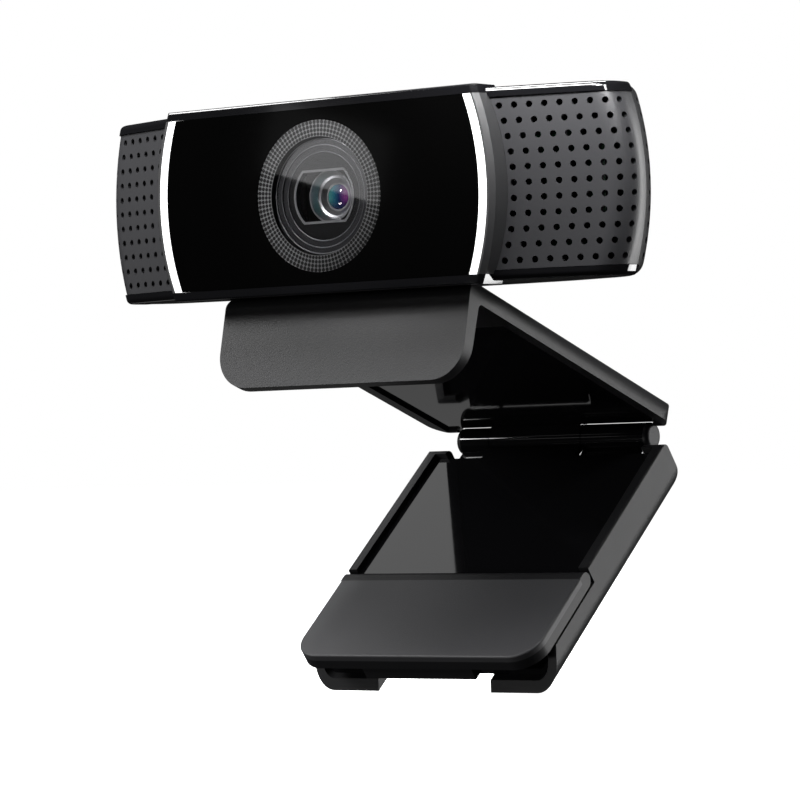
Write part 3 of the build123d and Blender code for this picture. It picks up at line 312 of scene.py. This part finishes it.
def glass_with_painted_reflections(name):
    """Glass with painted reflections: the coating's coloured reflections are painted on, teal on one side of
    the dome, violet on the other, dark blue between, and painted shade turns it dark blue towards the bottom.
    """
    finish = Finish(name, roughness=0.04, coat_weight=1.0, coat_roughness=0.02, specular_ior_level=0.8)
    x, z = finish.axis("X"), finish.axis("Z")
    across = (x / (DOME_RADIUS * MM) * 0.5 + 0.5).clamped()
    # painted reflection: the coating's colours run from teal to violet across the dome
    stops = [
        (0.0, (0.10, 0.42, 0.36)),
        (0.35, (0.03, 0.20, 0.28)),
        (0.6, (0.02, 0.03, 0.16)),
        (0.85, (0.30, 0.06, 0.30)),
    ]
    painted_reflection_colours = finish.node("ShaderNodeValToRGB", {"stops": stops}, [across])
    # painted shade: the dome is painted dark blue towards its bottom
    below = (0.5 - z / (DOME_RADIUS * MM) * 0.5).step(0.55, 0.95)
    finish.set(base_color=finish.blend(below, painted_reflection_colours, (0.01, 0.02, 0.10, 1)))
    return finish.material


# ================================================================ surfaces
def surface(name, points, closed_u=False, closed_v=False):
    """A mesh through a grid of points: u runs down the rows and v along them; each square is a face."""
    rows, columns = points.shape[:2]
    u = np.arange(rows if closed_u else rows - 1)
    v = np.arange(columns if closed_v else columns - 1)
    a, b = np.meshgrid(u, v, indexing="ij")
    a, b = a.ravel(), b.ravel()
    a1, b1 = (a + 1) % rows, (b + 1) % columns
    quads = np.stack([a * columns + b, a * columns + b1, a1 * columns + b1, a1 * columns + b], axis=1)
    mesh = bpy.data.meshes.new(name)
    mesh.from_pydata(points.reshape(-1, 3).tolist(), [], quads.tolist())
    mesh.validate()
    mesh.polygons.foreach_set("use_smooth", np.ones(len(mesh.polygons), dtype=bool))
    made = bpy.data.objects.new(name, mesh)
    bpy.context.scene.collection.objects.link(made)
    return made


def turned(name, profile):
    """A turned piece about the Y axis, with a closed profile. Point (u, v) is profile point u,
    a (radius, y) pair, swung through the angle v: (radius cos v, y, radius sin v)."""
    profile = np.asarray(profile) * MM
    angle = np.linspace(0, 2 * np.pi, TURN_STEPS, endpoint=False)
    radius, along = profile[:, :1], profile[:, 1:]
    points = np.stack([radius * np.cos(angle), along + 0 * angle, radius * np.sin(angle)], axis=2)
    return surface(name, points, closed_u=True, closed_v=True)


def dress(piece, body, material):
    """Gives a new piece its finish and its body."""
    piece.data.materials.append(material)
    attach(piece, body)


def crisp(piece, degrees=30.0):
    """Smooth shading that breaks at real edges."""
    piece.data.set_sharp_from_angle(angle=math.radians(degrees))
    return piece


def paint(material, *names):
    """Puts a finish on nodes of the frame."""
    for name in names:
        for place in NODES[name].material_slots:
            place.material = material


# ================================================================ what a user would change
class FinishSettings(PropertyGroup):
    """Colours and grain of the mouldings."""

    satin_colour: FloatVectorProperty(
        name="Satin plastic", description="Colour of the clip's moulded plastic", subtype="COLOR",
        default=(0.014, 0.014, 0.015), min=0, max=1)
    grille_colour: FloatVectorProperty(
        name="Grille", description="Colour of the perforated wings", subtype="COLOR",
        default=(0.026, 0.026, 0.028), min=0, max=1)
    side_colour: FloatVectorProperty(
        name="Module sides", description="Colour of the bezel beside the light strips", subtype="COLOR",
        default=(0.020, 0.020, 0.021), min=0, max=1)
    gloss_colour: FloatVectorProperty(
        name="Gloss plastic", description="Colour of the polished pieces", subtype="COLOR",
        default=(0.0035, 0.0035, 0.004), min=0, max=1)
    grain_size: FloatProperty(
        name="Grain", description="Size of the moulded grain", unit="LENGTH", default=0.22 * MM)
    strip_glow: FloatProperty(
        name="Strip brightness", description="How strongly the light strips glow", default=1.1, min=0)


class LensSettings(PropertyGroup):
    """Sizes of what shows behind the window."""

    dot_rows: IntProperty(name="Dot rows", description="Rings of printed dots", default=4, min=1)
    dot_count: IntProperty(name="Dots per ring", description="Dots round each ring", default=100, min=8)
    ring_inner: FloatProperty(
        name="Ring inside", description="Inner radius of the printed ring", unit="LENGTH", default=8.7 * MM)
    ring_outer: FloatProperty(
        name="Ring outside", description="Outer radius of the printed ring", unit="LENGTH", default=11.1 * MM)


class LightSettings(PropertyGroup):
    """Strength of each light."""

    key: FloatProperty(
        name="Key", description="Power of the light on the front left", unit="POWER", default=2.6)
    softbox: FloatProperty(
        name="Softbox", description="Power of the large light that the leg mirrors",
        unit="POWER", default=0.25)
    edge: FloatProperty(
        name="Edge", description="Power of the long light that draws the caps' edges",
        unit="POWER", default=4.0)
    wing: FloatProperty(
        name="Wing", description="Power of the small light above the right wing", unit="POWER", default=0.10)
    side: FloatProperty(
        name="Side", description="Power of the light behind the right side", unit="POWER", default=1.75)
    low: FloatProperty(
        name="Low", description="Power of the low light that reaches under the foot",
        unit="POWER", default=0.35)
    under: FloatProperty(
        name="Under", description="Power of the light that the arm's underside mirrors",
        unit="POWER", default=0.032)
    lens: FloatProperty(
        name="Lens", description="Power of the small light on the lens", unit="POWER", default=0.13)
    glint: FloatProperty(
        name="Glint", description="Power of the light that the window mirrors", unit="POWER", default=0.0022)
    ambient: FloatProperty(name="Ambient", description="Brightness all round", default=0.06, min=0)


# ================================================================ pieces
class WEBCAM_OT_finishes(Operator):
    """Put the mouldings' finishes on the frame's own nodes"""

    bl_idname = "webcam.finishes"
    bl_label = "Finishes"

    def execute(self, context):
        s = context.scene.webcam_finish
        matte = satin("satin_black", s.satin_colour, 0.42, s.grain_size, 0.00003, 0.2)
        grille = satin("grille_black", s.grille_colour, 0.36, s.grain_size, 0.00002, 0.5)
        soft = satin("soft_black", tuple(c * 3.0 for c in s.satin_colour), 0.5, s.grain_size, 0.00004)
        dark = satin("dark_matte", DARK_MATTE, 0.45, s.grain_size, 0.00002)
        gloss = polished("gloss_black", s.gloss_colour)
        panel = polished("panel_black", PANEL_BLACK, 0.04, 0.0, 0.08)
        steel = metal("steel", STEEL, 0.28)
        brass = metal("brass", BRASS, 0.25)
        copper = metal("copper", COPPER, 0.3)
        board = board_green("board", BOARD_GREEN)
        side = satin("module_side", s.side_colour, 0.5, s.grain_size, 0.00003)
        paint(side, "module_frame")
        paint(gloss, "module_bars", "top_cap", "bottom_cap")
        paint(panel, "front_panel")
        paint(grille, "grille_left", "grille_right")
        paint(matte, "rear_shell", "arm_shell", "leg_shell", "foot_core", "barrel_caps")
        paint(gloss, "arm_panel", "leg_panel", "leg_liner", "leg_knuckles", "arm_knuckle")
        paint(soft, "foot_pad", "lip_pad", "mic_gaskets", "cable_inlet")
        # painted highlight: the lens hood's rim is painted light grey
        paint(disc_with_painted_rim_highlight("hood", 0.004, 0.30, HOOD_RIM_DEPTH), "lens_hood")
        paint(dark, "lens_baffle", "focus_housing", "sensor_holder", "image_sensor", "board_chips")
        paint(steel, "chassis", "microphones", "housing_screws", "tilt_bracket", "tilt_pin", "fold_pin",
              "foot_pin", "knuckle_screws", "focus_magnets", "lens_barrel")
        paint(brass, "tripod_insert", "friction_sleeve")
        paint(copper, "focus_coil")
        paint(matte, "foot_ears", "cable_header")
        paint(board, "main_board", "sensor_board", "mic_boards", "light_boards")
        glow = frosted_light("light_strip", WHITE, s.strip_glow)
        paint(glow, "light_strip_left", "light_strip_right", "status_leds")
        # painted reflection and painted shade on the lens glass, rear element and filter
        painted_reflection_finish = glass_with_painted_reflections("glass_with_painted_reflections")
        paint(painted_reflection_finish, "lens_glass", "rear_element", "ir_filter")
        paint(clear_window("clear_window"), "lens_window")
        return {"FINISHED"}


class WEBCAM_OT_halftone(Operator):
    """Print the ring of dots behind the window"""

    bl_idname = "webcam.halftone"
    bl_label = "Printed ring"

    def execute(self, context):
        s = context.scene.webcam_lens
        inner, outer = s.ring_inner / MM, s.ring_outer / MM
        corners = [(inner, RING_FRONT), (outer, RING_FRONT), (outer, RING_BACK), (inner, RING_BACK)]
        ring = turned("printed_ring", corners)
        ink = halftone("printed_dots", s.ring_inner, s.ring_outer, s.dot_rows, s.dot_count, LATTICE_GREY)
        dress(crisp(ring), "camera", ink)
        return {"FINISHED"}


class WEBCAM_OT_step_rings(Operator):
    """Round off the edges of the steps behind the window"""

    bl_idname = "webcam.step_rings"
    bl_label = "Step edges"

    def execute(self, context):
        edge = metal("step_edge", STEP_GREY, 0.35)
        angle = np.linspace(0, 2 * np.pi, STEP_EDGE_STEPS, endpoint=False)
        across = STEP_EDGE_HALF_WIDTH * np.cos(angle)
        along = STEP_EDGE_HALF_DEPTH * np.sin(angle) - STEP_EDGE_PROUD
        for number, (radius, depth) in enumerate(STEP_EDGES, 1):
            profile = np.stack([radius + across, depth + along], axis=1)
            dress(turned(f"step_edge_{number}", profile), "camera", edge)
        return {"FINISHED"}


# ================================================================ stage
class WEBCAM_OT_stage(Operator):
    """Set up the floor, the light and the camera"""

    bl_idname = "webcam.stage"
    bl_label = "Stage"

    def execute(self, context):
        s = context.scene.webcam_light
        self.floor(CAD_BOX[0][2])
        self.world(context, s.ambient)
        self.lamp("key_light", (-430, -330, 240), (0, 0, -20), (240, 160), s.key)
        self.lamp("softbox", (-290, 115, 360), (0, 30, -40), (300, 300), s.softbox)
        self.lamp("edge_light", (-60, 30, 420), (0, 0, 10), (420, 30), s.edge)
        self.lamp("wing_light", (52, -10, 34), (50, 4, 10), (64, 8), s.wing)
        self.lamp("far_wing_light", (-50, -24, 50), (-44, 8, 6), (40, 12), s.wing * 0.6)
        self.lamp("side_light", (330, 420, -30), (20, 40, -40), (160, 400), s.side)
        self.lamp("low_light", (-190, -400, -190), (0, 25, -70), (120, 50), s.low)
        self.lamp("under_light", (-285, 305, -270), (-8, 25, -24), (220, 220), s.under)
        self.spot("lens_light", (-25, -60, 34), (0, 4, 0), 24, s.lens)
        self.lamp("window_glint", (-353.4, -482.7, 47.5), (-353.4, 0, 47.5), (46, 22), s.glint, -17.2)
        self.camera(context)
        return {"FINISHED"}

    def floor(self, lowest):
        """Pale glowing floor just under the lowest point, which lights nothing and takes no shadow."""
        across = np.linspace(-FLOOR_HALF_WIDTH, FLOOR_HALF_WIDTH, 3)
        x, y = np.meshgrid(across, across)
        points = np.stack([x, y, np.full_like(x, lowest - FLOOR_GAP)], axis=2)
        floor = surface("floor", points)
        paper = Finish("paper", roughness=0.9, emission_strength=1.0, emission_color=(1, 1, 1, 1))
        cloud = paper.noise(3.0)
        paper.set(base_color=paper.blend(cloud, (0.91, 0.91, 0.91, 1), (0.94, 0.94, 0.94, 1)))
        floor.data.materials.append(paper.material)
        floor.visible_glossy = False
        floor.visible_diffuse = False
        floor.visible_shadow = False

    def world(self, context, ambient):
        """White where it is looked at, dim as a light, and nearly dark in a reflection."""
        context.scene.view_settings.view_transform = "Standard"
        world = bpy.data.worlds.new("studio")
        context.scene.world = world
        world.use_nodes = True
        tree = world.node_tree
        tree.nodes.remove(tree.nodes["Background"])
        path = tree.nodes.new("ShaderNodeLightPath")

        def background(strength):
            made = tree.nodes.new("ShaderNodeBackground")
            made.inputs["Color"].default_value = (*WHITE, 1)
            made.inputs["Strength"].default_value = strength
            return made.outputs[0]

        def choose(ray, otherwise, chosen):
            made = tree.nodes.new("ShaderNodeMixShader")
            for place, socket in enumerate((path.outputs[ray], otherwise, chosen)):
                tree.links.new(socket, made.inputs[place])
            return made.outputs[0]

        lit = choose("Is Glossy Ray", background(ambient), background(GLOSSY_AMBIENT))
        seen = choose("Is Camera Ray", lit, background(1.0))
        tree.links.new(seen, tree.nodes["World Output"].inputs["Surface"])

    def lamp(self, name, place, target, size, power, roll=0.0):
        """A rectangular soft light at place, facing target, rolled about that line by roll degrees."""
        data = bpy.data.lights.new(name, "AREA")
        data.shape = "RECTANGLE"
        data.size = size[0] * MM
        data.size_y = size[1] * MM
        data.energy = power
        lamp = bpy.data.objects.new(name, data)
        bpy.context.scene.collection.objects.link(lamp)
        lamp.location = Vector(place) * MM
        aim = Vector(target) * MM - lamp.location
        turn = aim.to_track_quat("-Z", "Y").to_matrix() @ Matrix.Rotation(math.radians(roll), 3, "Z")
        lamp.rotation_euler = turn.to_euler()

    def spot(self, name, place, target, degrees, power):
        """A small round light with a cone that takes in the window and no more."""
        data = bpy.data.lights.new(name, "SPOT")
        data.spot_size = math.radians(degrees)
        data.spot_blend = 0.4
        data.shadow_soft_size = 4 * MM
        data.energy = power
        spot = bpy.data.objects.new(name, data)
        bpy.context.scene.collection.objects.link(spot)
        spot.location = Vector(place) * MM
        aim = Vector(target) * MM - spot.location
        spot.rotation_euler = aim.to_track_quat("-Z", "Y").to_euler()

    def camera(self, context):
        """Long lens well to the right of the webcam, nearly level with it and slightly rolled."""
        yaw, pitch, roll = map(math.radians, CAMERA_TURN)
        offset = Vector(CAMERA_OFFSET) * MM
        turn = Matrix.Rotation(roll, 3, "Y") @ Matrix.Rotation(pitch, 3, "X") @ Matrix.Rotation(yaw, 3, "Z")
        back = turn.transposed()
        data = bpy.data.cameras.new("camera")
        data.lens = CAMERA_LENS
        data.sensor_width = CAMERA_SENSOR
        data.clip_start = CAMERA_NEAR
        camera = bpy.data.objects.new("camera", data)
        context.scene.collection.objects.link(camera)
        columns = (back @ Vector((1, 0, 0)), back @ Vector((0, 0, 1)), -(back @ Vector((0, 1, 0))))
        basis = Matrix(columns).transposed()
        camera.matrix_world = Matrix.Translation(-(back @ offset)) @ basis.to_4x4()
        context.scene.camera = camera


# ================================================================ panel
class WEBCAM_PT_panel(Panel):
    """Shows the webcam's settings and a button for each step"""

    bl_label = "Webcam"
    bl_idname = "WEBCAM_PT_panel"
    bl_space_type = "VIEW_3D"
    bl_region_type = "UI"
    bl_category = "Webcam"

    def draw(self, context):
        layout = self.layout
        for group in (context.scene.webcam_finish, context.scene.webcam_lens, context.scene.webcam_light):
            box = layout.box()
            for name in group.__annotations__:
                box.prop(group, name)
        for step in STEPS:
            layout.operator(step.bl_idname)


STEPS = (WEBCAM_OT_finishes, WEBCAM_OT_halftone, WEBCAM_OT_step_rings, WEBCAM_OT_stage)
CLASSES = (FinishSettings, LensSettings, LightSettings, *STEPS, WEBCAM_PT_panel)


def register():
    for each in CLASSES:
        bpy.utils.register_class(each)
    bpy.types.Scene.webcam_finish = PointerProperty(type=FinishSettings)
    bpy.types.Scene.webcam_lens = PointerProperty(type=LensSettings)
    bpy.types.Scene.webcam_light = PointerProperty(type=LightSettings)


def unregister():
    del bpy.types.Scene.webcam_light
    del bpy.types.Scene.webcam_lens
    del bpy.types.Scene.webcam_finish
    for each in reversed(CLASSES):
        bpy.utils.unregister_class(each)


def main():
    register()
    bpy.ops.webcam.finishes()
    bpy.ops.webcam.halftone()
    bpy.ops.webcam.step_rings()
    bpy.ops.webcam.stage()


if __name__ == "__main__":
    main()
